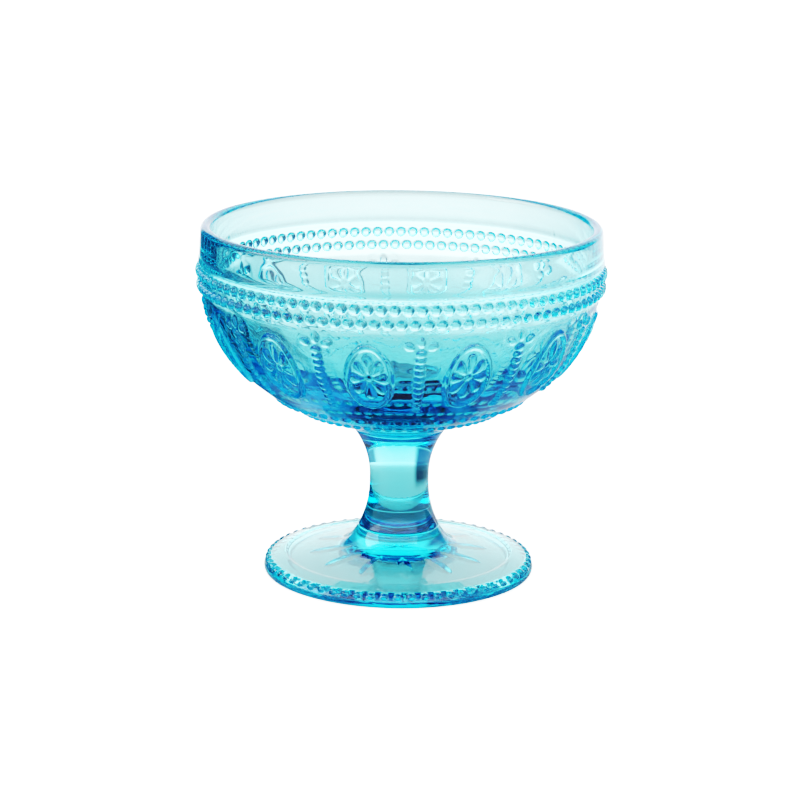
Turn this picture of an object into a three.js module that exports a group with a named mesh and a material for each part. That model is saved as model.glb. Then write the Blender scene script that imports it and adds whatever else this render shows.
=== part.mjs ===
// A footed dessert and cocktail glass of pressed blue glass: a deep round bowl on a
// short solid stem and a broad round foot.
//
// The glass is round about the Z axis. Its origin is the middle of the foot's resting
// ring, +Z points up to the lip, and every length is in millimetres. The bowl, the stem
// and the foot are the three parts that are fused face to face when such a glass is made.

import * as THREE from 'three';

// --- Driving dimensions -------------------------------------------------------------

// The whole glass.
const HEIGHT = 98.4;
const FACETS = 60;

// The lip and the smooth band below it.
const LIP_THICKNESS = 3.1;
const LIP_RADIUS = 55.05;
const LIP_BAND_BOTTOM = 90.0;
const LIP_BAND_RADIUS = 55.4;

// The beaded band: two rings, drawn here as round ridges at the beads' tips.
const BEADED_BAND_TOP = 89.4;
const BEADED_BAND_RADIUS = 55.75;
const BEAD_WIDTH = 3.0;
const BEAD_RINGS = [
  { height: 82.0, wallRadius: 55.05, proud: 1.0 },
  { height: 85.8, wallRadius: 55.4, proud: 1.05 },
];

// The belly is half of an ellipsoid outside and half of a flatter one inside.
const BELLY = { radius: 54.4, depth: 41.8, centreHeight: 83.2 };
const BELLY_TOP = 79.6;
const BELLY_TO_STEM_RADIUS = 18.0;
const INSIDE = { radius: 51.6, depth: 34.2, centreHeight: 84.0 };

// The stem swells from its waist to both joints.
const WAIST_HEIGHT = 26.5;
const WAIST_RADIUS = 8.2;
const BOWL_JOINT = { height: 41.0, radius: 12.75 };
const FOOT_JOINT = { height: 13.0, radius: 11.25 };
const FLARE_POWER = 2.3;

// The foot: a sloping disc with a low step, a sloping border, and a resting ring below. Its
// underside is hollowed into a shallow dome, so that the disc is about as thick all over.
const FOOT_RADIUS = 37.75;
const FOOT_CORNER_RADIUS = 1.2;
const FOOT_SIDE_TOP = 1.9;
const FOOT_SHOULDER = { height: 4.55, radius: 35.9 };
const STEP_RADIUS = 31.0;
const STEP_WIDTH = 0.6;
const STEP_TOP = 5.2;
const STEP_BOTTOM = 4.9;
const FLARE_FOOT = { height: 7.2, radius: 17.5 };
const DOME_HEIGHT = 4.2;
const RESTING_RING_INNER_RADIUS = 35.2;

// How many straight stretches each curve of an outline is drawn with.
const LIP_STEPS = 6;
const BEAD_STEPS = 4;
const BELLY_STEPS = 11;
const INSIDE_STEPS = 14;
const ROOT_STEPS = 4;
const STEM_STEPS = 12;
const EDGE_STEPS = 3;
const SHOULDER_STEPS = 4;
const DOME_STEPS = 6;

// --- Outline helpers ----------------------------------------------------------------
// An outline point is a Vector2 of radius and height.

function point(radius, height) {
  return new THREE.Vector2(radius, height);
}

// Points of an upright ellipse, by its parametric angle in degrees, anticlockwise positive.
function ellipseArc(centre, radii, fromDegrees, toDegrees, steps) {
  const from = THREE.MathUtils.degToRad(fromDegrees);
  const to = THREE.MathUtils.degToRad(toDegrees);
  const clockwise = toDegrees < fromDegrees;
  const curve = new THREE.EllipseCurve(centre.x, centre.y, radii.x, radii.y, from, to, clockwise);
  return curve.getPoints(steps);
}

// A smooth bend that leaves `start` towards `corner` and reaches `end` from it.
function bend(start, corner, end, steps) {
  return new THREE.QuadraticBezierCurve(start, corner, end).getPoints(steps);
}

// The point where two lines, each given by a point and a direction, cross.
function crossing(pointA, directionA, pointB, directionB) {
  const offset = pointB.clone().sub(pointA);
  const share = offset.cross(directionB) / directionA.cross(directionB);
  return pointA.clone().addScaledVector(directionA, share);
}

// The same outline without points that repeat the one before them.
function withoutRepeats(outline) {
  const tolerance = 1e-6;
  return outline.filter((p, i) => i === 0 || p.distanceTo(outline[i - 1]) > tolerance);
}

// A named body of revolution about Z, from an outline that runs from the axis to the axis.
function turnedBody(name, outline, material) {
  const geometry = new THREE.LatheGeometry(withoutRepeats(outline), FACETS);
  geometry.rotateX(Math.PI / 2);
  const body = new THREE.Mesh(geometry, material);
  body.name = name;
  return body;
}

// --- The stem's swelling side, shared by the stem and by the bends that meet it -------

function stemRadius(height) {
  const joint = height > WAIST_HEIGHT ? BOWL_JOINT : FOOT_JOINT;
  const share = (height - WAIST_HEIGHT) / (joint.height - WAIST_HEIGHT);
  return WAIST_RADIUS + (joint.radius - WAIST_RADIUS) * share ** FLARE_POWER;
}

// The direction of the stem's side at one of its joints, pointing away from the waist.
function stemSideDirection(joint) {
  const length = joint.height - WAIST_HEIGHT;
  const slope = (FLARE_POWER * (joint.radius - WAIST_RADIUS)) / length;
  return point(slope * Math.sign(length), Math.sign(length));
}

// --- Bowl ---------------------------------------------------------------------------

// The bend from the stem's top joint out to the underside of the belly.
function bowlRoot() {
  const start = point(BOWL_JOINT.radius, BOWL_JOINT.height);
  const cosine = BELLY_TO_STEM_RADIUS / BELLY.radius;
  const sine = Math.sqrt(1 - cosine ** 2);
  const end = point(BELLY_TO_STEM_RADIUS, BELLY.centreHeight - BELLY.depth * sine);
  const bellyDirection = point(BELLY.radius * sine, BELLY.depth * cosine);
  const corner = crossing(start, stemSideDirection(BOWL_JOINT), end, bellyDirection);
  return bend(start, corner, end, ROOT_STEPS);
}

function bellyOutside() {
  const from = -THREE.MathUtils.radToDeg(Math.acos(BELLY_TO_STEM_RADIUS / BELLY.radius));
  const sine = (BELLY_TOP - BELLY.centreHeight) / BELLY.depth;
  const to = THREE.MathUtils.radToDeg(Math.asin(sine));
  const centre = point(0, BELLY.centreHeight);
  return ellipseArc(centre, point(BELLY.radius, BELLY.depth), from, to, BELLY_STEPS);
}

// One ring of the beaded band, in section.
function beadRing({ height, wallRadius, proud }) {
  const start = point(wallRadius, height - BEAD_WIDTH / 2);
  const corner = point(wallRadius + 2 * proud, height);
  const end = point(wallRadius, height + BEAD_WIDTH / 2);
  return bend(start, corner, end, BEAD_STEPS);
}

function lip() {
  const round = LIP_THICKNESS / 2;
  const centre = point(LIP_RADIUS - round, HEIGHT - round);
  return ellipseArc(centre, point(round, round), 0, 180, LIP_STEPS);
}

function bowlInside() {
  const centre = point(0, INSIDE.centreHeight);
  return ellipseArc(centre, point(INSIDE.radius, INSIDE.depth), 0, -90, INSIDE_STEPS);
}

function bowlOutline() {
  return [
    point(0, BOWL_JOINT.height),
    ...bowlRoot(),
    ...bellyOutside(),
    ...BEAD_RINGS.flatMap(beadRing),
    point(BEADED_BAND_RADIUS, BEADED_BAND_TOP),
    point(LIP_BAND_RADIUS, LIP_BAND_BOTTOM),
    ...lip(),
    ...bowlInside(),
  ];
}

// --- Stem ---------------------------------------------------------------------------

function stemOutline() {
  const length = BOWL_JOINT.height - FOOT_JOINT.height;
  const side = [];
  for (let i = 0; i <= STEM_STEPS; i += 1) {
    const height = FOOT_JOINT.height + (length * i) / STEM_STEPS;
    side.push(point(stemRadius(height), height));
  }
  return [point(0, FOOT_JOINT.height), ...side, point(0, BOWL_JOINT.height)];
}

// --- Foot ---------------------------------------------------------------------------

// The bend from the foot's sloping top up to the stem's lower joint.
function footRoot() {
  const start = point(FLARE_FOOT.radius, FLARE_FOOT.height);
  const end = point(FOOT_JOINT.radius, FOOT_JOINT.height);
  const slope = point(STEP_RADIUS - FLARE_FOOT.radius, STEP_BOTTOM - FLARE_FOOT.height);
  const corner = crossing(start, slope, end, stemSideDirection(FOOT_JOINT));
  return bend(start, corner, end, ROOT_STEPS);
}

// The hollowed underside, from the axis out to the resting ring.
function footDome() {
  const start = point(0, DOME_HEIGHT);
  const corner = point(RESTING_RING_INNER_RADIUS / 2, DOME_HEIGHT);
  return bend(start, corner, point(RESTING_RING_INNER_RADIUS, 0), DOME_STEPS);
}

function footEdge() {
  const round = FOOT_CORNER_RADIUS;
  const side = point(FOOT_RADIUS, FOOT_SIDE_TOP);
  const corner = point(FOOT_RADIUS, (FOOT_SIDE_TOP + FOOT_SHOULDER.height) / 2);
  const shoulder = point(FOOT_SHOULDER.radius, FOOT_SHOULDER.height);
  return [
    ...ellipseArc(point(FOOT_RADIUS - round, round), point(round, round), -90, 0, EDGE_STEPS),
    ...bend(side, corner, shoulder, SHOULDER_STEPS),
  ];
}

function footOutline() {
  return [
    ...footDome(),
    ...footEdge(),
    point(STEP_RADIUS + STEP_WIDTH / 2, STEP_TOP),
    point(STEP_RADIUS - STEP_WIDTH / 2, STEP_BOTTOM),
    ...footRoot(),
    point(0, FOOT_JOINT.height),
  ];
}

// --- Assembly -----------------------------------------------------------------------

// Blue glass, deeper in colour where the glass is thicker.
function blueGlass(color, opacity) {
  return new THREE.MeshStandardMaterial({
    color,
    opacity,
    transparent: true,
    roughness: 0.04,
    metalness: 0,
  });
}

const glass = new THREE.Group();
glass.name = 'footed_glass';
glass.add(turnedBody('bowl', bowlOutline(), blueGlass(0x49bfd6, 0.45)));
glass.add(turnedBody('stem', stemOutline(), blueGlass(0x0f9ec4, 0.7)));
glass.add(turnedBody('foot', footOutline(), blueGlass(0x8fd3de, 0.4)));

export default glass;
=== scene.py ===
# A footed cocktail and dessert glass of pressed blue glass, on a pale studio floor.
#
# Shapes are worked out in millimetres about the glass's axis, as a radius and a height along
# an outline, and turned round the axis on a fine grid. The pressed relief lifts the grid along
# the outline's own normals. Angles run from the front (-Y) towards the right (+X).

import math

import bpy
import numpy as np
from mathutils import Matrix, Vector


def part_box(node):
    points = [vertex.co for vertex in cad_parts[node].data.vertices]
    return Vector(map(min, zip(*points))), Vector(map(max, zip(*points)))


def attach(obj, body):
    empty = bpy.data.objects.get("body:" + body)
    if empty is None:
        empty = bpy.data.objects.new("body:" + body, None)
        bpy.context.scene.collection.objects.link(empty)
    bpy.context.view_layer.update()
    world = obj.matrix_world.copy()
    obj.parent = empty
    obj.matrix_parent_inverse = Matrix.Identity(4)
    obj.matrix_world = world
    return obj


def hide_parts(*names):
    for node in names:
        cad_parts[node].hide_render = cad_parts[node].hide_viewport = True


MM = 0.001

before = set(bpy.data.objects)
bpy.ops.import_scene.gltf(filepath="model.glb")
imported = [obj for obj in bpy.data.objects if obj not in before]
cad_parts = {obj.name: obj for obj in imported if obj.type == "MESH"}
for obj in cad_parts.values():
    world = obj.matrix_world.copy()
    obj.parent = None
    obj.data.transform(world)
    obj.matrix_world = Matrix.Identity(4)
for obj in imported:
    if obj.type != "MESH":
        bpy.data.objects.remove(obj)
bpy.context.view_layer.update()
_, BOWL_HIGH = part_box("bowl")
STEM_LOW, STEM_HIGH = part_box("stem")
_, FOOT_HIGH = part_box("foot")

# --- Sizes read from the frame, in mm ---------------------------------------------------

HEIGHT = BOWL_HIGH.z / MM
BEAD_TIP_RADIUS = BOWL_HIGH.x / MM
BOWL_JOINT_HEIGHT = STEM_HIGH.z / MM
BOWL_JOINT_RADIUS = STEM_HIGH.x / MM
FOOT_JOINT_HEIGHT = STEM_LOW.z / MM
FOOT_RADIUS = FOOT_HIGH.x / MM

# --- Sizes of the plain shapes, in mm ------------------------------------------------------

# Between the meshes of two fused parts.
JOINT_GAP = 0.01

# The lip, the smooth band under it and the band that the beads stand on.
LIP_THICKNESS = 3.1
LIP_RADIUS = BEAD_TIP_RADIUS - 1.4
BAND_TOP = 90.0
BAND_RADIUS = LIP_RADIUS + 0.35
BEADED_RADIUS = LIP_RADIUS + 0.7

# The belly is part of an ellipsoid outside, and of a flatter one inside.
BELLY_RADIUS = 54.4
BELLY_DEPTH = 41.8
BELLY_CENTRE = 83.2
BELLY_TOP = 79.2
BELLY_ROOT_RADIUS = 18.0

INSIDE_RADIUS = 51.6
INSIDE_DEPTH = 34.2
INSIDE_CENTRE = 84.0

# The stem swells from its waist to both joints.
WAIST_HEIGHT = 26.5
WAIST_RADIUS = 8.2
FOOT_JOINT_RADIUS = 11.25
FLARE_POWER = 2.3

# The foot: where its flare ends, the low ring step on it, and its border and underside.
FLARE_FOOT_RADIUS = 17.5
FLARE_FOOT_HEIGHT = 7.2
STEP_RADIUS = 31.0
STEP_HEIGHT = 4.9
BORDER_HEIGHT = 5.2
SHOULDER_HEIGHT = 4.2
DOME_HEIGHT = 4.2
RESTING_INNER_RADIUS = 35.2
RESTING_OUTER_RADIUS = 36.4

# --- Relief, in mm and degrees ---------------------------------------------------------

REPEATS = 12
COLUMN_ANGLE = 5.7
MEDALLION_ANGLE = COLUMN_ANGLE - 15.0

MOULD_PARTS = 3
BEADS_PER_RING = 33 * MOULD_PARTS
BEAD_RADIUS = 1.32
UNDER_BEADS_PER_RING = 5 * REPEATS
FOOT_BEADS = 21 * MOULD_PARTS
FOOT_BEAD_HEIGHT = 3.4
FOOT_BEAD_RADIUS = 1.05
FOOT_BEAD_PROUD = 0.6

# How many columns of points each mesh has round the axis. The beaded ones have ten to a bead.
BOWL_COLUMNS = 10 * BEADS_PER_RING
FOOT_COLUMNS = 10 * FOOT_BEADS
STEM_COLUMNS = 180


# --- Outlines --------------------------------------------------------------------------
# An outline is an array of points, each a radius and a height.

def ellipse_arc(centre, radii, start, end, steps=60):
    """Points of an upright ellipse between two parametric angles in degrees."""
    angles = np.radians(np.linspace(start, end, steps + 1))
    return np.stack([centre[0] + radii[0] * np.cos(angles),
                     centre[1] + radii[1] * np.sin(angles)], axis=1)


def bend(start, corner, end, steps=40):
    """A smooth bend that leaves start towards corner and reaches end from it."""
    t = np.linspace(0, 1, steps + 1)[:, None]
    start, corner, end = np.array(start), np.array(corner), np.array(end)
    return (1 - t) ** 2 * start + 2 * t * (1 - t) * corner + t ** 2 * end


def crossing(point_a, direction_a, point_b, direction_b):
    """Where two lines, each a point and a direction, cross."""
    sides = np.array([direction_a, -np.array(direction_b)]).T
    share = np.linalg.solve(sides, np.array(point_b) - np.array(point_a))[0]
    return np.array(point_a) + share * np.array(direction_a)


def lengths(outline):
    """The distance of each point along an outline."""
    steps = np.hypot(*np.diff(outline, axis=0).T)
    return np.concatenate([[0], np.cumsum(steps)])


def resample(outline, distances):
    """The points of an outline at given distances along it."""
    along = lengths(outline)
    return np.stack([np.interp(distances, along, outline[:, 0]),
                     np.interp(distances, along, outline[:, 1])], axis=1)


def evenly(outline, spacing):
    """An outline's points about spacing apart, with both ends kept."""
    total = lengths(outline)[-1]
    return resample(outline, np.linspace(0, total, max(2, round(total / spacing)) + 1))


def softened(outline, spacing, width):
    """An outline with its corners rounded over about width, and its ends kept."""
    even = evenly(outline, spacing)
    for _ in range(max(1, round((width / spacing) ** 2))):
        even[1:-1] = (even[:-2] + 2 * even[1:-1] + even[2:]) / 4
    return even


def normals(outline):
    """Unit normals to the right of the way that an outline runs."""
    along = np.gradient(outline, axis=0)
    along /= np.linalg.norm(along, axis=1)[:, None]
    return np.stack([along[:, 1], -along[:, 0]], axis=1)


def places(*stretches):
    """Distances along an outline, from stretches of (start, end, spacing) that follow on."""
    out = [np.array([stretches[0][0]], float)]
    for start, end, spacing in stretches:
        steps = max(1, round((end - start) / spacing))
        out.append(np.linspace(start, end, steps + 1)[1:])
    return np.concatenate(out)


# --- The grid turned round the axis ------------------------------------------------------

def angle_grid(columns):
    return np.linspace(0, 360, columns, endpoint=False)[None, :]


def nearest(angle, first, pitch):
    """How far an angle is from the nearest of evenly pitched ones, in degrees."""
    return (angle - first + pitch / 2) % pitch - pitch / 2


def turned(outline, lift=None, columns=STEM_COLUMNS):
    """Rows of points of an outline turned round the axis, lifted along its normals."""
    radius = outline[:, :1] * np.ones((1, columns))
    height = outline[:, 1:] * np.ones((1, columns))
    if lift is not None:
        outward = normals(outline)
        radius = radius + outward[:, :1] * lift
        height = height + outward[:, 1:] * lift
    angle = np.radians(angle_grid(columns))
    return np.stack([radius * np.sin(angle), -radius * np.cos(angle), height], axis=2)


def closed_mesh(name, rows, low_pole, high_pole, flat_ends):
    """A closed mesh of rows of points between two points on the axis.

    flat_ends says which of the two end discs are flat joint faces with a sharp rim.
    """
    count, columns = rows.shape[:2]
    points = np.concatenate([rows.reshape(-1, 3), [[0, 0, low_pole], [0, 0, high_pole]]])
    index = np.arange(count * columns).reshape(count, columns)
    after = np.roll(index, -1, axis=1)
    quads = np.stack([index[:-1], after[:-1], after[1:], index[1:]], axis=2).reshape(-1, 4)
    low, high = count * columns, count * columns + 1
    first = np.stack([np.full(columns, low), after[0], index[0]], axis=1)
    last = np.stack([index[-1], after[-1], np.full(columns, high)], axis=1)
    faces = quads.tolist() + first.tolist() + last.tolist()
    mesh = bpy.data.meshes.new(name)
    mesh.from_pydata((points * MM).tolist(), [], faces)
    smooth = np.ones(len(faces), bool)
    if flat_ends[0]:
        smooth[len(quads):len(quads) + columns] = False
    if flat_ends[1]:
        smooth[len(quads) + columns:] = False
    mesh.polygons.foreach_set("use_smooth", smooth)
    mesh.update()
    piece = bpy.data.objects.new(name, mesh)
    bpy.context.scene.collection.objects.link(piece)
    return piece


# --- The stem's side, which the bowl and the foot flow into -------------------------------

def stem_radius(height):
    upper = height > WAIST_HEIGHT
    joint_height = np.where(upper, BOWL_JOINT_HEIGHT, FOOT_JOINT_HEIGHT)
    joint_radius = np.where(upper, BOWL_JOINT_RADIUS, FOOT_JOINT_RADIUS)
    share = (height - WAIST_HEIGHT) / (joint_height - WAIST_HEIGHT)
    return WAIST_RADIUS + (joint_radius - WAIST_RADIUS) * share ** FLARE_POWER


def stem_side_direction(joint_height, joint_radius):
    """The way the stem's side runs at a joint, away from the waist."""
    length = joint_height - WAIST_HEIGHT
    slope = FLARE_POWER * (joint_radius - WAIST_RADIUS) / abs(length)
    return (slope, math.copysign(1, length))


# --- Relief shapes ---------------------------------------------------------------------

def dome(distance, power=0.4):
    """A rounded bump over a distance of 0 at its middle to 1 at its edge."""
    return np.clip(1 - distance ** 2, 0, None) ** power


def oval(across, down, half_width, half_height, turn=0.0):
    """An oval bump, turned by some degrees."""
    c, s = math.cos(math.radians(turn)), math.sin(math.radians(turn))
    x = c * across + s * down
    y = -s * across + c * down
    return dome(np.hypot(x / half_width, y / half_height))


def bead_ring(angle, along, radius_along, middle, count, first, radius, proud):
    """A ring of round beads whose middles lie at one distance along the outline."""
    ring_radius = np.interp(middle, along[:, 0], radius_along[:, 0])
    across = np.radians(nearest(angle, first, 360 / count)) * ring_radius
    return proud * dome(np.hypot(across, along - middle) / radius)


def smooth_step(value, low, high):
    t = np.clip((value - low) / (high - low), 0, 1)
    return t * t * (3 - 2 * t)


# Distances below are measured down the outside of the bowl from the lip's rounding.
# A bead ring's middle, how far it is turned, as a share of a bead, and its share of the reach.
BEAD_RINGS = ((11.1, 0.0, 1.0), (14.95, 0.5, 0.85))
# An underside ring's middle, and its beads' radius and how proud they stand.
UNDER_RINGS = ((53.6, 1.2, 0.6), (61.0, 1.05, 0.5))

MEDALLION_MIDDLE = 31.8
MEDALLION_HALF_WIDTH = 5.65
MEDALLION_HALF_HEIGHT = 10.35
RING_HALF_THICKNESS = 0.8
MEDALLION_PROUD = 0.75

# A petal's half width grows from its root by the swell. Upright petals are a little longer.
FLOWER_MIDDLE = 31.1
FLOWER_STRETCH = 1.25
PETALS = 8
PETAL_START = 1.2
PETAL_END = 5.0
UPRIGHT_PETAL_EXTRA = 1.2
PETAL_ROOT_HALF_WIDTH = 0.55
PETAL_SWELL = 1.25
FLOWER_HEART_RADIUS = 0.9
FLOWER_HEART_PROUD = 0.2

# Each petal of a trefoil has its tilt and the distance of its middle from the trefoil's own.
TREFOIL_MIDDLE = 22.6
TREFOIL_PETALS = ((0, 2.9), (62, 3.5), (-62, 3.5))
TREFOIL_PETAL_HALF_WIDTH = 1.05
TREFOIL_PETAL_HALF_HEIGHT = 1.5
TREFOIL_PROUD = 0.75

# A column's beads narrow and sink by these amounts from its first to its last.
FIRST_COLUMN_BEAD = 23.1
COLUMN_PITCH = 2.05
COLUMN_BEADS = 11
COLUMN_BEAD_HALF_WIDTH = 1.5
COLUMN_BEAD_NARROWING = 0.35
COLUMN_BEAD_HALF_HEIGHT = 1.06
COLUMN_BEAD_PROUD = 0.8
COLUMN_BEAD_SINKING = 0.1

# The scalloped step's ovals, each a half width and a half height. It fades away down the bowl.
SCALLOP_STEP = 0.09
SCALLOP_ROUND_MEDALLION = (8.1, 12.9)
SCALLOP_ROUND_TREFOIL = (5.3, 4.6)
SCALLOP_ABOVE_TREFOIL = 1.4
SCALLOP_EDGE = (0.88, 1.08)
SCALLOP_FADE = (44.5, 46.5)

# The seams fade in below the lip and out below the beads.
SEAM_ANGLE = COLUMN_ANGLE + 0.4
SEAM_PROUD = 0.1
SEAM_HALF_WIDTH = 0.5
SEAM_START = (6, 7)
SEAM_END = (17, 19)


def medallion_ring(across, down):
    reach = np.hypot(across / MEDALLION_HALF_WIDTH, down / MEDALLION_HALF_HEIGHT)
    distance = (reach - 1) * np.hypot(across, down) / np.maximum(reach, 1e-6)
    return MEDALLION_PROUD * dome(distance / RING_HALF_THICKNESS)


def medallion_flower(across, down):
    """Drop-shaped petals, longer up and down, round a small low heart."""
    x, y = across, down / FLOWER_STRETCH
    reach = np.hypot(x, y)
    bearing = np.degrees(np.arctan2(x, -y))
    off = np.radians(nearest(bearing, 0, 360 / PETALS))
    end = PETAL_END + UPRIGHT_PETAL_EXTRA * np.cos(np.radians(bearing)) ** 2
    share = (reach * np.cos(off) - PETAL_START) / (end - PETAL_START)
    side = reach * np.sin(off)
    round_ends = np.sqrt(np.clip(1 - (2 * share - 1) ** 2, 0, None))
    half_width = (PETAL_ROOT_HALF_WIDTH + PETAL_SWELL * np.clip(share, 0, 1)) * round_ends
    petal = round_ends * dome(side / np.maximum(half_width, 1e-3), 0.5)
    heart = dome(np.minimum(reach / FLOWER_HEART_RADIUS, 1), 1.0)
    return MEDALLION_PROUD * petal + FLOWER_HEART_PROUD * heart


def trefoil(across, down):
    """Three petals that spread up and out from the column's head."""
    height = np.zeros(np.broadcast(across, down).shape)
    for tilt, reach in TREFOIL_PETALS:
        x = across - reach * math.sin(math.radians(tilt))
        y = down + reach * math.cos(math.radians(tilt))
        petal = oval(x, y, TREFOIL_PETAL_HALF_WIDTH, TREFOIL_PETAL_HALF_HEIGHT, tilt)
        height = np.maximum(height, TREFOIL_PROUD * petal)
    return height


def column(angle_off, along, radius_along):
    """The beads stacked under the trefoil, smaller towards the bottom."""
    height = np.zeros(np.broadcast(angle_off, along).shape)
    for i in range(COLUMN_BEADS):
        middle = FIRST_COLUMN_BEAD + i * COLUMN_PITCH
        share = i / (COLUMN_BEADS - 1)
        ring_radius = np.interp(middle, along[:, 0], radius_along[:, 0])
        across = np.radians(angle_off) * ring_radius
        half_width = COLUMN_BEAD_HALF_WIDTH - COLUMN_BEAD_NARROWING * share
        proud = COLUMN_BEAD_PROUD - COLUMN_BEAD_SINKING * share
        bead = oval(across, along - middle, half_width, COLUMN_BEAD_HALF_HEIGHT)
        height = np.maximum(height, proud * bead)
    return height


def off_oval(across, down, half_sizes):
    """How far a point is from an oval's middle, as a share of the way to the oval."""
    return np.hypot(across / half_sizes[0], down / half_sizes[1])


def scalloped_step(medallion_across, column_across, along):
    """A low step that runs just outside the medallions and the trefoils."""
    from_medallion = off_oval(medallion_across, along - MEDALLION_MIDDLE, SCALLOP_ROUND_MEDALLION)
    from_trefoil = off_oval(column_across, along - TREFOIL_MIDDLE + SCALLOP_ABOVE_TREFOIL,
                            SCALLOP_ROUND_TREFOIL)
    inside = np.minimum(from_medallion, from_trefoil)
    scallop = SCALLOP_STEP * (1 - smooth_step(inside, *SCALLOP_EDGE))
    scallop = np.where(along > MEDALLION_MIDDLE, SCALLOP_STEP, scallop)
    return scallop * (1 - smooth_step(along, *SCALLOP_FADE))


def seams(angle, along, radius_along):
    """Faint upright lines where the mould's parts met, across the beaded band."""
    seam_off = nearest(angle, SEAM_ANGLE, 360 / MOULD_PARTS)
    seam = SEAM_PROUD * dome(np.radians(seam_off) * radius_along / SEAM_HALF_WIDTH, 1.0)
    return seam * (1 - smooth_step(along, *SEAM_END)) * smooth_step(along, *SEAM_START)


def bowl_relief(angle, along, radius_along):
    """How far the pressed pattern stands off the outside of the bowl."""
    height = np.zeros((along.shape[0], angle.shape[1]))
    for middle, stagger, share in BEAD_RINGS:
        base = np.interp(middle, along[:, 0], radius_along[:, 0])
        bead_proud = share * (BEAD_TIP_RADIUS - base)
        first = COLUMN_ANGLE + stagger * 360 / BEADS_PER_RING
        ring = bead_ring(angle, along, radius_along, middle, BEADS_PER_RING, first,
                         BEAD_RADIUS, bead_proud)
        height = np.maximum(height, ring)
    for middle, radius, proud in UNDER_RINGS:
        ring = bead_ring(angle, along, radius_along, middle, UNDER_BEADS_PER_RING,
                         COLUMN_ANGLE, radius, proud)
        height = np.maximum(height, ring)

    medallion_off = nearest(angle, MEDALLION_ANGLE, 360 / REPEATS)
    medallion_across = np.radians(medallion_off) * radius_along
    height = np.maximum(height, medallion_ring(medallion_across, along - MEDALLION_MIDDLE))
    height = np.maximum(height, medallion_flower(medallion_across, along - FLOWER_MIDDLE))

    column_off = nearest(angle, COLUMN_ANGLE, 360 / REPEATS)
    column_across = np.radians(column_off) * radius_along
    height = np.maximum(height, trefoil(column_across, along - TREFOIL_MIDDLE))
    height = np.maximum(height, column(column_off, along, radius_along))

    height = height + scalloped_step(medallion_across, column_across, along)
    return height + seams(angle, along, radius_along)


# --- Bowl ---------------------------------------------------------------------------------

def bowl_wall():
    """The outside of the bowl from the lip's rounding down to the joint with the stem."""
    round_off = LIP_THICKNESS / 2
    top = [(LIP_RADIUS, HEIGHT - round_off), (BAND_RADIUS, BAND_TOP),
           (BEADED_RADIUS, BAND_TOP - 0.6), (BEADED_RADIUS - 0.1, BAND_TOP - 1.6),
           (LIP_RADIUS + 0.1, BAND_TOP - 2.6), (LIP_RADIUS, BAND_TOP - 5.5),
           (LIP_RADIUS - 0.4, BAND_TOP - 9.3)]
    top_angle = math.degrees(math.asin((BELLY_TOP - BELLY_CENTRE) / BELLY_DEPTH))
    root_angle = -math.degrees(math.acos(BELLY_ROOT_RADIUS / BELLY_RADIUS))
    belly = ellipse_arc((0, BELLY_CENTRE), (BELLY_RADIUS, BELLY_DEPTH), top_angle, root_angle, 300)
    cosine = math.cos(math.radians(root_angle))
    sine = -math.sin(math.radians(root_angle))
    belly_direction = (BELLY_RADIUS * sine, BELLY_DEPTH * cosine)
    joint = (BOWL_JOINT_RADIUS, BOWL_JOINT_HEIGHT)
    joint_direction = stem_side_direction(BOWL_JOINT_HEIGHT, BOWL_JOINT_RADIUS)
    corner = crossing(joint, joint_direction, belly[-1], belly_direction)
    root = bend(belly[-1], corner, joint)
    return softened(np.concatenate([top, belly, root[1:]]), spacing=0.1, width=0.22)


def bowl():
    wall = bowl_wall()
    total = lengths(wall)[-1]
    # Rows of points lie closer together where there is relief.
    spots = places((0, 9.4, 0.8), (9.4, 16.8, 0.26), (16.8, 19.0, 0.5), (19.0, 45.0, 0.4),
                   (45.0, 51.8, 0.9), (51.8, 62.6, 0.4), (62.6, total, 1.2))
    outline = resample(wall, spots)
    along = spots[:, None]
    lift = bowl_relief(angle_grid(BOWL_COLUMNS), along, outline[:, :1])
    # The wall runs down from the lip. Turned to run up, it has its normals on the outside.
    outside = turned(outline[::-1], lift[::-1], BOWL_COLUMNS)
    outside[0, :, 2] = BOWL_JOINT_HEIGHT + JOINT_GAP / 2

    round_off = LIP_THICKNESS / 2
    lip_centre = (LIP_RADIUS - round_off, HEIGHT - round_off)
    lip = ellipse_arc(lip_centre, (round_off, round_off), 0, 180, 12)
    inner_wall = ellipse_arc((0, INSIDE_CENTRE), (INSIDE_RADIUS, INSIDE_DEPTH), 0, -89, 200)
    inside = softened(np.concatenate([lip[-1:], inner_wall]), spacing=0.2, width=0.8)
    inside = resample(inside, places((0.0, lengths(inside)[-1], 2.0)))
    rest = turned(np.concatenate([lip[1:], inside[1:]]), None, BOWL_COLUMNS)
    rows = np.concatenate([outside, rest])
    floor = INSIDE_CENTRE - INSIDE_DEPTH
    return closed_mesh("bowl_glass", rows, BOWL_JOINT_HEIGHT + JOINT_GAP / 2, floor, (True, False))


# --- Stem ---------------------------------------------------------------------------------

def stem():
    low = FOOT_JOINT_HEIGHT + JOINT_GAP / 2
    high = BOWL_JOINT_HEIGHT - JOINT_GAP / 2
    height = np.linspace(low, high, 80)
    outline = np.stack([stem_radius(height), height], axis=1)
    return closed_mesh("stem_glass", turned(outline), low, high, (True, True))


# --- Foot ---------------------------------------------------------------------------------

LEAF_START = 11.0
LEAF_END = 24.0
LEAF_HALF_WIDTH = 2.1
LEAF_DEPTH = 0.3


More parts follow.
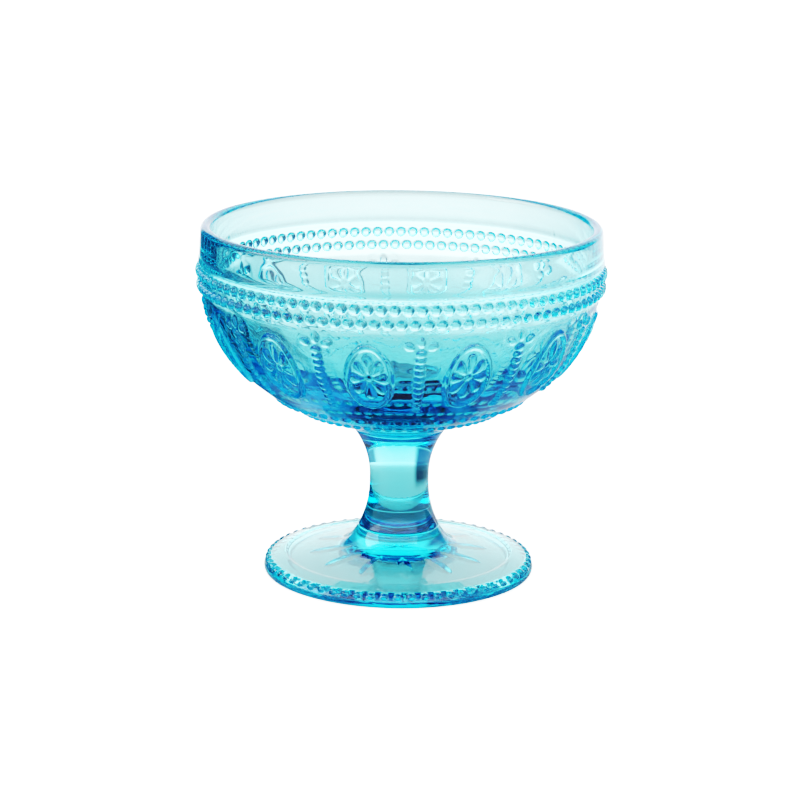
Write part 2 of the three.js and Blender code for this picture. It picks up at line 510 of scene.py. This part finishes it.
def foot_star(angle, radius):
    """Leaves hollowed into the underside, outside the stem's flare."""
    off = nearest(angle, COLUMN_ANGLE, 360 / REPEATS)
    share = (radius - LEAF_START) / (LEAF_END - LEAF_START)
    round_ends = np.sqrt(np.clip(1 - (2 * share - 1) ** 2, 0, None))
    half_width = LEAF_HALF_WIDTH * round_ends * (0.7 + 0.5 * share)
    across = np.radians(off) * radius
    depth = 1 - np.abs(across) / np.maximum(half_width, 1e-3)
    return -LEAF_DEPTH * np.clip(depth, 0, 1) ** 0.8


def foot_outside():
    """The foot from its resting ring round the edge, over the top and up to the stem."""
    joint = (FOOT_JOINT_RADIUS, FOOT_JOINT_HEIGHT - JOINT_GAP / 2)
    joint_direction = stem_side_direction(FOOT_JOINT_HEIGHT, FOOT_JOINT_RADIUS)
    flare_foot = (FLARE_FOOT_RADIUS, FLARE_FOOT_HEIGHT)
    slope = (STEP_RADIUS - FLARE_FOOT_RADIUS, STEP_HEIGHT - FLARE_FOOT_HEIGHT)
    corner = crossing(flare_foot, slope, joint, joint_direction)
    edge = [(RESTING_OUTER_RADIUS, 0), (FOOT_RADIUS - 0.25, 0.45), (FOOT_RADIUS, 1.3),
            (FOOT_RADIUS - 0.15, 2.1), (FOOT_RADIUS - 0.75, 3.0),
            (FOOT_RADIUS - 2.1, SHOULDER_HEIGHT)]
    top = [(STEP_RADIUS + 0.5, BORDER_HEIGHT), (STEP_RADIUS - 0.1, STEP_HEIGHT)]
    root = bend(flare_foot, corner, joint)
    return softened(np.concatenate([edge, top, root]), spacing=0.1, width=0.3)


# How much of the foot's outline climbs its edge before the border.
EDGE_LENGTH = 6.0


def foot():
    outside = foot_outside()
    total = lengths(outside)[-1]
    edge = outside[lengths(outside) < EDGE_LENGTH]
    bead_middle = float(np.interp(FOOT_BEAD_HEIGHT, edge[:, 1], lengths(edge)))
    spots = places((0, 2.4, 0.35), (2.4, 6.4, 0.2), (6.4, 9.8, 0.6), (9.8, 12.4, 0.3),
                   (12.4, total - 12, 1.5), (total - 12, total, 0.6))
    outline = resample(outside, spots)
    lift = bead_ring(angle_grid(FOOT_COLUMNS), spots[:, None], outline[:, :1], bead_middle,
                     FOOT_BEADS, COLUMN_ANGLE, FOOT_BEAD_RADIUS, FOOT_BEAD_PROUD)
    top_rows = turned(outline, lift, FOOT_COLUMNS)

    hollow = bend((0, DOME_HEIGHT), (RESTING_INNER_RADIUS / 2, DOME_HEIGHT),
                  (RESTING_INNER_RADIUS, 0))
    under = np.concatenate([hollow[1:], [(RESTING_OUTER_RADIUS, 0)]])
    under = softened(under, spacing=0.2, width=0.3)
    under = resample(under, places((0, 10.0, 1.5), (10.0, 25.0, 0.4), (25.0, 33.5, 1.0),
                                   (33.5, lengths(under)[-1], 0.4)))
    # Leaves are hollows, so they lift the underside towards the top.
    star = foot_star(angle_grid(FOOT_COLUMNS), under[:, :1])
    under_rows = turned(under, star, FOOT_COLUMNS)
    rows = np.concatenate([under_rows[:-1], top_rows])
    return closed_mesh("foot_glass", rows, DOME_HEIGHT, FOOT_JOINT_HEIGHT - JOINT_GAP / 2,
                       (False, True))


# --- Materials ------------------------------------------------------------------------------

REFRACTION = 1.52
GLASS_TINT = (0.0, 0.88, 0.94, 1)
# How strongly each part's glass colours the light, per metre. The solid stem's glass colours it
# less, a painted brightening for the brighter light seen through the real stem, so that it reads
# paler.
GLASS_DEPTH = {"bowl": 122.0, "stem": 82.0, "foot": 115.0}
# The most that wear roughens the glass, and how deep the ripple of its pressed surface is, in
# metres.
WEAR = 0.03
RIPPLE_DEPTH = 0.0002


def node(tree, kind, **values):
    """A new node, with its settings and its inputs' values by name."""
    made = tree.nodes.new(kind)
    for name, value in values.items():
        if name in made.inputs:
            made.inputs[name].default_value = value
        else:
            setattr(made, name, value)
    return made


def maths(tree, operation, a, b=None, clamp=False):
    made = tree.nodes.new("ShaderNodeMath")
    made.operation = operation
    made.use_clamp = clamp
    for socket, value in zip(made.inputs, (a, b)):
        if value is None:
            continue
        if isinstance(value, (int, float)):
            socket.default_value = value
        else:
            tree.links.new(value, socket)
    return made.outputs[0]


def smooth_change(tree, value, start, end, before=0.0, after=1.0):
    """One number up to start and another from end on, with a smooth change between them."""
    change = node(tree, "ShaderNodeMapRange", interpolation_type="SMOOTHSTEP")
    tree.links.new(value, change.inputs["Value"])
    change.inputs["From Min"].default_value = start
    change.inputs["From Max"].default_value = end
    change.inputs["To Min"].default_value = before
    change.inputs["To Max"].default_value = after
    return change.outputs[0]


def within(tree, value, low, high, soft):
    """1 while a value lies between low and high, fading to 0 over soft on each side."""
    rising = smooth_change(tree, value, low - soft, low + soft)
    falling = smooth_change(tree, value, high - soft, high + soft, 1.0, 0.0)
    return maths(tree, "MULTIPLY", rising, falling)


def joint_mask(tree, coordinates):
    """1 on the flat faces where two fused parts meet, and 0 elsewhere."""
    height = node(tree, "ShaderNodeSeparateXYZ")
    tree.links.new(coordinates.outputs["Object"], height.inputs[0])
    facing = node(tree, "ShaderNodeSeparateXYZ")
    geometry = node(tree, "ShaderNodeNewGeometry")
    tree.links.new(geometry.outputs["True Normal"], facing.inputs[0])
    level = maths(tree, "GREATER_THAN", maths(tree, "ABSOLUTE", facing.outputs["Z"]), 0.999)
    mask = None
    for joint in (BOWL_JOINT_HEIGHT, FOOT_JOINT_HEIGHT):
        away = maths(tree, "ABSOLUTE", maths(tree, "SUBTRACT", height.outputs["Z"], joint * MM))
        near = maths(tree, "LESS_THAN", away, 2 * JOINT_GAP * MM)
        mask = near if mask is None else maths(tree, "MAXIMUM", mask, near)
    return maths(tree, "MULTIPLY", mask, level)


def blue_glass(name, depth):
    """Clear pressed glass, blue throughout, with the faint ripple of a pressed surface."""
    material = bpy.data.materials.new(name)
    material.use_nodes = True
    tree = material.node_tree
    tree.nodes.clear()
    surface = node(tree, "ShaderNodeBsdfPrincipled")
    surface.inputs["Base Color"].default_value = (1, 1, 1, 1)
    surface.inputs["Transmission Weight"].default_value = 1.0
    coordinates = node(tree, "ShaderNodeTexCoord")
    mask = joint_mask(tree, coordinates)
    # Light goes straight through a joint, as the two parts are one glass there.
    plain = maths(tree, "SUBTRACT", 1.0, mask)
    bending = maths(tree, "MULTIPLY", plain, REFRACTION - 1)
    tree.links.new(maths(tree, "ADD", 1.0, bending), surface.inputs["IOR"])

    wear = node(tree, "ShaderNodeTexNoise", Scale=260.0, Detail=3.0)
    tree.links.new(coordinates.outputs["Object"], wear.inputs["Vector"])
    rough = maths(tree, "MULTIPLY", wear.outputs["Fac"], WEAR)
    tree.links.new(maths(tree, "MULTIPLY", rough, plain), surface.inputs["Roughness"])

    ripple = node(tree, "ShaderNodeTexNoise", Scale=110.0, Detail=2.0)
    tree.links.new(coordinates.outputs["Object"], ripple.inputs["Vector"])
    bump = node(tree, "ShaderNodeBump", Strength=0.25, Distance=RIPPLE_DEPTH)
    tree.links.new(ripple.outputs["Fac"], bump.inputs["Height"])
    tree.links.new(bump.outputs["Normal"], surface.inputs["Normal"])

    inside = node(tree, "ShaderNodeVolumeAbsorption", Density=depth)
    inside.inputs["Color"].default_value = GLASS_TINT
    output = node(tree, "ShaderNodeOutputMaterial")
    tree.links.new(surface.outputs[0], output.inputs["Surface"])
    tree.links.new(inside.outputs[0], output.inputs["Volume"])
    return material


# --- Studio -------------------------------------------------------------------------------

# How bright each part of the room is. The corners on the left and right are dim and blue-grey.
ROOM = 1.6
BACK_WALL = 1.9
SOFTBOX = 6.0
HIGH_FRONT = 3.5
CEILING = 0.3
CORNER = (0.12, 0.2, 0.32)
RIGHT_SHARE = 0.8

# The studio's left is dim, from one angle to another round from the back.
DIM_FROM = -100
DIM_TO = -22
DIM_SOFT = 5

# Where each part is: its left, right, bottom and top, in degrees round from the back and up.
BACK_WALL_SPAN = (DIM_TO, 32, -20, 62)
CORNER_SPAN = (-80, DIM_TO, -20, 24)
RIGHT_CORNER_SPAN = (38, 78, -20, 24)
SOFTBOX_SPAN = (-118, -78, 20, 48)
SOFTBOX_SOFT = 2
HIGH_FRONT_SPANS = ((-190, -120, 20, 50), (120, 190, 20, 50))
HIGH_FRONT_SOFT = 4
CEILING_FROM = 70
CEILING_TO = 110
CEILING_SOFT = 6

# The floor, in metres. Its paper has painted shade on the left, where the studio is dim too,
# except close round the glass, where the painted shade ends over one distance. Over the sweep a
# painted glow makes it grow as bright as the wall, as light on a paper sweep does.
FLOOR_SIZE = 8.0
FLOOR_GAP = 0.0001
PAPER_TONES = (0.40, 0.44)
# The colour of the paper's painted shade on the left, a dark blue-grey.
FLOOR_PAINTED_SHADE = (0.02, 0.04, 0.07)
PAINTED_SHADE_ENDS = (0.045, 0.1)
SWEEP = (0.1, 0.75)
SWEEP_GLOW = (0.3, 3.0)

# How bright the room and the paper are where the camera sees them.
SEEN_WHITE = 2.0
SEEN_GLOW = 3.0

# A photographic print's contrast: how much light prints as pure white, and the curve below
# that, as points of light and of printed brightness.
FILM_WHITE = 1.72
FILM_CURVE = ((0.045, 0.018), (0.125, 0.165), (0.28, 0.52), (0.56, 0.81))


def seen_white(tree, studio, white):
    """White where the camera sees it, as in a cut-out picture, and the studio's own light to
    everything else, so the glass still has something to refract."""
    path = node(tree, "ShaderNodeLightPath")
    both = node(tree, "ShaderNodeMixShader")
    tree.links.new(path.outputs["Is Camera Ray"], both.inputs["Fac"])
    tree.links.new(studio, both.inputs[1])
    tree.links.new(white, both.inputs[2])
    return both.outputs[0]


def glowing(tree, colour, glow):
    """A matt white surface that also shines a little by its own glow, with no lamp behind it."""
    surface = node(tree, "ShaderNodeBsdfPrincipled")
    tree.links.new(colour, surface.inputs["Base Color"])
    tree.links.new(colour, surface.inputs["Emission Color"])
    if isinstance(glow, float):
        surface.inputs["Emission Strength"].default_value = glow
    else:
        tree.links.new(glow, surface.inputs["Emission Strength"])
    surface.inputs["Roughness"].default_value = 0.9
    surface.inputs["Specular IOR Level"].default_value = 0.0
    return surface.outputs[0]


def mixed(tree, share, first, second):
    """One colour turning into another, each a plain colour or a socket."""
    mix = node(tree, "ShaderNodeMix", data_type="RGBA")
    tree.links.new(share, mix.inputs["Factor"])
    # In a mix of colours, inputs 6 and 7 are the two colours and output 2 is the result.
    for socket, colour in zip(mix.inputs[6:8], (first, second)):
        if isinstance(colour, tuple):
            socket.default_value = (*colour, 1)
        else:
            tree.links.new(colour, socket)
    return mix.outputs[2]


def floor_paper():
    """Pale, faintly mottled paper with painted shade away to the left, and a painted glow that
    grows more and more far off.
    """
    material = bpy.data.materials.new("studio_floor")
    material.use_nodes = True
    tree = material.node_tree
    tree.nodes.clear()
    coordinates = node(tree, "ShaderNodeTexCoord")
    mottle = node(tree, "ShaderNodeTexNoise", Scale=3.0, Detail=4.0)
    tree.links.new(coordinates.outputs["Object"], mottle.inputs["Vector"])
    paper = node(tree, "ShaderNodeValToRGB")
    for element, tone in zip(paper.color_ramp.elements, PAPER_TONES):
        element.color = (tone, tone, tone, 1)
    tree.links.new(mottle.outputs["Fac"], paper.inputs["Fac"])

    place = node(tree, "ShaderNodeSeparateXYZ")
    tree.links.new(coordinates.outputs["Object"], place.inputs[0])
    bearing = maths(tree, "ARCTAN2", place.outputs["X"], place.outputs["Y"])
    round_from_back = maths(tree, "DEGREES", bearing)
    away = node(tree, "ShaderNodeVectorMath", operation="LENGTH")
    tree.links.new(coordinates.outputs["Object"], away.inputs[0])
    far = smooth_change(tree, away.outputs["Value"], *PAINTED_SHADE_ENDS)
    # Painted light: the paper glows faintly close round the glass and more and more over the
    # sweep, standing in for the light that falls on it there.
    glow = smooth_change(tree, away.outputs["Value"], *SWEEP, *SWEEP_GLOW)
    # Painted shade: the paper turns dark on the studio's dim left, for the glass to refract, but
    # not close round the glass.
    painted_shade = within(tree, round_from_back, DIM_FROM, DIM_TO, DIM_SOFT)
    painted_shade = maths(tree, "MULTIPLY", painted_shade, far)
    shaded = mixed(tree, painted_shade, paper.outputs["Color"], FLOOR_PAINTED_SHADE)
    output = node(tree, "ShaderNodeOutputMaterial")
    both = seen_white(tree, glowing(tree, shaded, glow),
                      glowing(tree, paper.outputs["Color"], SEEN_GLOW))
    tree.links.new(both, output.inputs["Surface"])
    return material


def studio_floor():
    """A broad floor just under the glass."""
    mesh = bpy.data.meshes.new("studio_floor")
    half = FLOOR_SIZE / 2
    corners = [(-half, -half, 0), (half, -half, 0), (half, half, 0), (-half, half, 0)]
    mesh.from_pydata(corners, [], [(0, 1, 2, 3)])
    plane = bpy.data.objects.new("studio_floor", mesh)
    plane.location.z = -FLOOR_GAP
    mesh.materials.append(floor_paper())
    bpy.context.scene.collection.objects.link(plane)


def studio_light():
    """A white room: a bright wall behind, a dim blue-grey corner on its left and a fainter one
    on its right, a softbox high on the left, more light high in front, and a darker ceiling."""
    world = bpy.data.worlds.new("studio")
    world.use_nodes = True
    tree = world.node_tree
    tree.nodes.clear()
    coordinates = node(tree, "ShaderNodeTexCoord")
    direction = node(tree, "ShaderNodeSeparateXYZ")
    tree.links.new(coordinates.outputs["Generated"], direction.inputs[0])
    up = maths(tree, "DEGREES", maths(tree, "ARCSINE", direction.outputs["Z"]))
    bearing = maths(tree, "ARCTAN2", direction.outputs["X"], direction.outputs["Y"])
    round_from_back = maths(tree, "DEGREES", bearing)

    def patch(left, right, bottom, top, soft):
        across = within(tree, round_from_back, left, right, soft)
        return maths(tree, "MULTIPLY", across, within(tree, up, bottom, top, soft))

    back_wall = patch(*BACK_WALL_SPAN, DIM_SOFT)
    corner = patch(*CORNER_SPAN, DIM_SOFT)
    softbox = patch(*SOFTBOX_SPAN, SOFTBOX_SOFT)
    high_front = maths(tree, "ADD", *(patch(*span, HIGH_FRONT_SOFT) for span in HIGH_FRONT_SPANS))
    ceiling = within(tree, up, CEILING_FROM, CEILING_TO, CEILING_SOFT)
    lit = maths(tree, "ADD", ROOM, maths(tree, "MULTIPLY", back_wall, BACK_WALL - ROOM))
    lit = maths(tree, "ADD", lit, maths(tree, "MULTIPLY", softbox, SOFTBOX - ROOM))
    lit = maths(tree, "ADD", lit, maths(tree, "MULTIPLY", high_front, HIGH_FRONT - ROOM))
    lit = maths(tree, "ADD", lit, maths(tree, "MULTIPLY", ceiling, CEILING - ROOM))

    right_corner = maths(tree, "MULTIPLY", patch(*RIGHT_CORNER_SPAN, DIM_SOFT), RIGHT_SHARE)
    tint = mixed(tree, maths(tree, "ADD", corner, right_corner), (1, 1, 1), CORNER)
    background = node(tree, "ShaderNodeBackground")
    tree.links.new(tint, background.inputs["Color"])
    tree.links.new(lit, background.inputs["Strength"])
    white = node(tree, "ShaderNodeBackground", Strength=SEEN_WHITE)
    white.inputs["Color"].default_value = (1, 1, 1, 1)
    output = node(tree, "ShaderNodeOutputWorld")
    both = seen_white(tree, background.outputs[0], white.outputs[0])
    tree.links.new(both, output.inputs["Surface"])
    bpy.context.scene.world = world


# The camera's distance and the height it aims at are in metres, its lens in millimetres.
CAMERA_DISTANCE = 0.7585
CAMERA_ELEVATION = math.radians(14.184)
CAMERA_ROLL = math.radians(0.634)
AIM_HEIGHT = 0.04866
LENS = 122.96


def camera():
    """The photograph's view: from the front and a little above, with a long lens."""
    aim = Vector((0, 0, AIM_HEIGHT))
    back = Vector((0, -math.cos(CAMERA_ELEVATION), math.sin(CAMERA_ELEVATION)))
    data = bpy.data.cameras.new("camera")
    data.lens = LENS
    data.clip_start = 0.01
    data.clip_end = 20
    seen_from = bpy.data.objects.new("camera", data)
    facing = (-back).to_track_quat("-Z", "Y").to_matrix().to_4x4()
    turn = facing @ Matrix.Rotation(CAMERA_ROLL, 4, "Z")
    seen_from.matrix_world = Matrix.Translation(aim + back * CAMERA_DISTANCE) @ turn
    bpy.context.scene.collection.objects.link(seen_from)
    bpy.context.scene.camera = seen_from


def render_settings():
    scene = bpy.context.scene
    scene.view_settings.view_transform = "Standard"
    scene.view_settings.use_curve_mapping = True
    film = scene.view_settings.curve_mapping
    film.white_level = (FILM_WHITE, FILM_WHITE, FILM_WHITE)
    # The fourth curve is the one for all three colours together.
    for light, printed in FILM_CURVE:
        film.curves[3].points.new(light, printed)
    film.update()
    scene.cycles.max_bounces = 40
    scene.cycles.transmission_bounces = 40
    scene.cycles.glossy_bounces = 16
    scene.cycles.transparent_max_bounces = 40
    scene.cycles.use_denoising = True


# --- The glass on its floor ---------------------------------------------------------------

camera()
studio_light()
studio_floor()
render_settings()

for piece, cad_node in ((bowl(), "bowl"), (stem(), "stem"), (foot(), "foot")):
    piece.data.materials.append(blue_glass("blue_" + cad_node, GLASS_DEPTH[cad_node]))
    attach(piece, "root")
    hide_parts(cad_node)
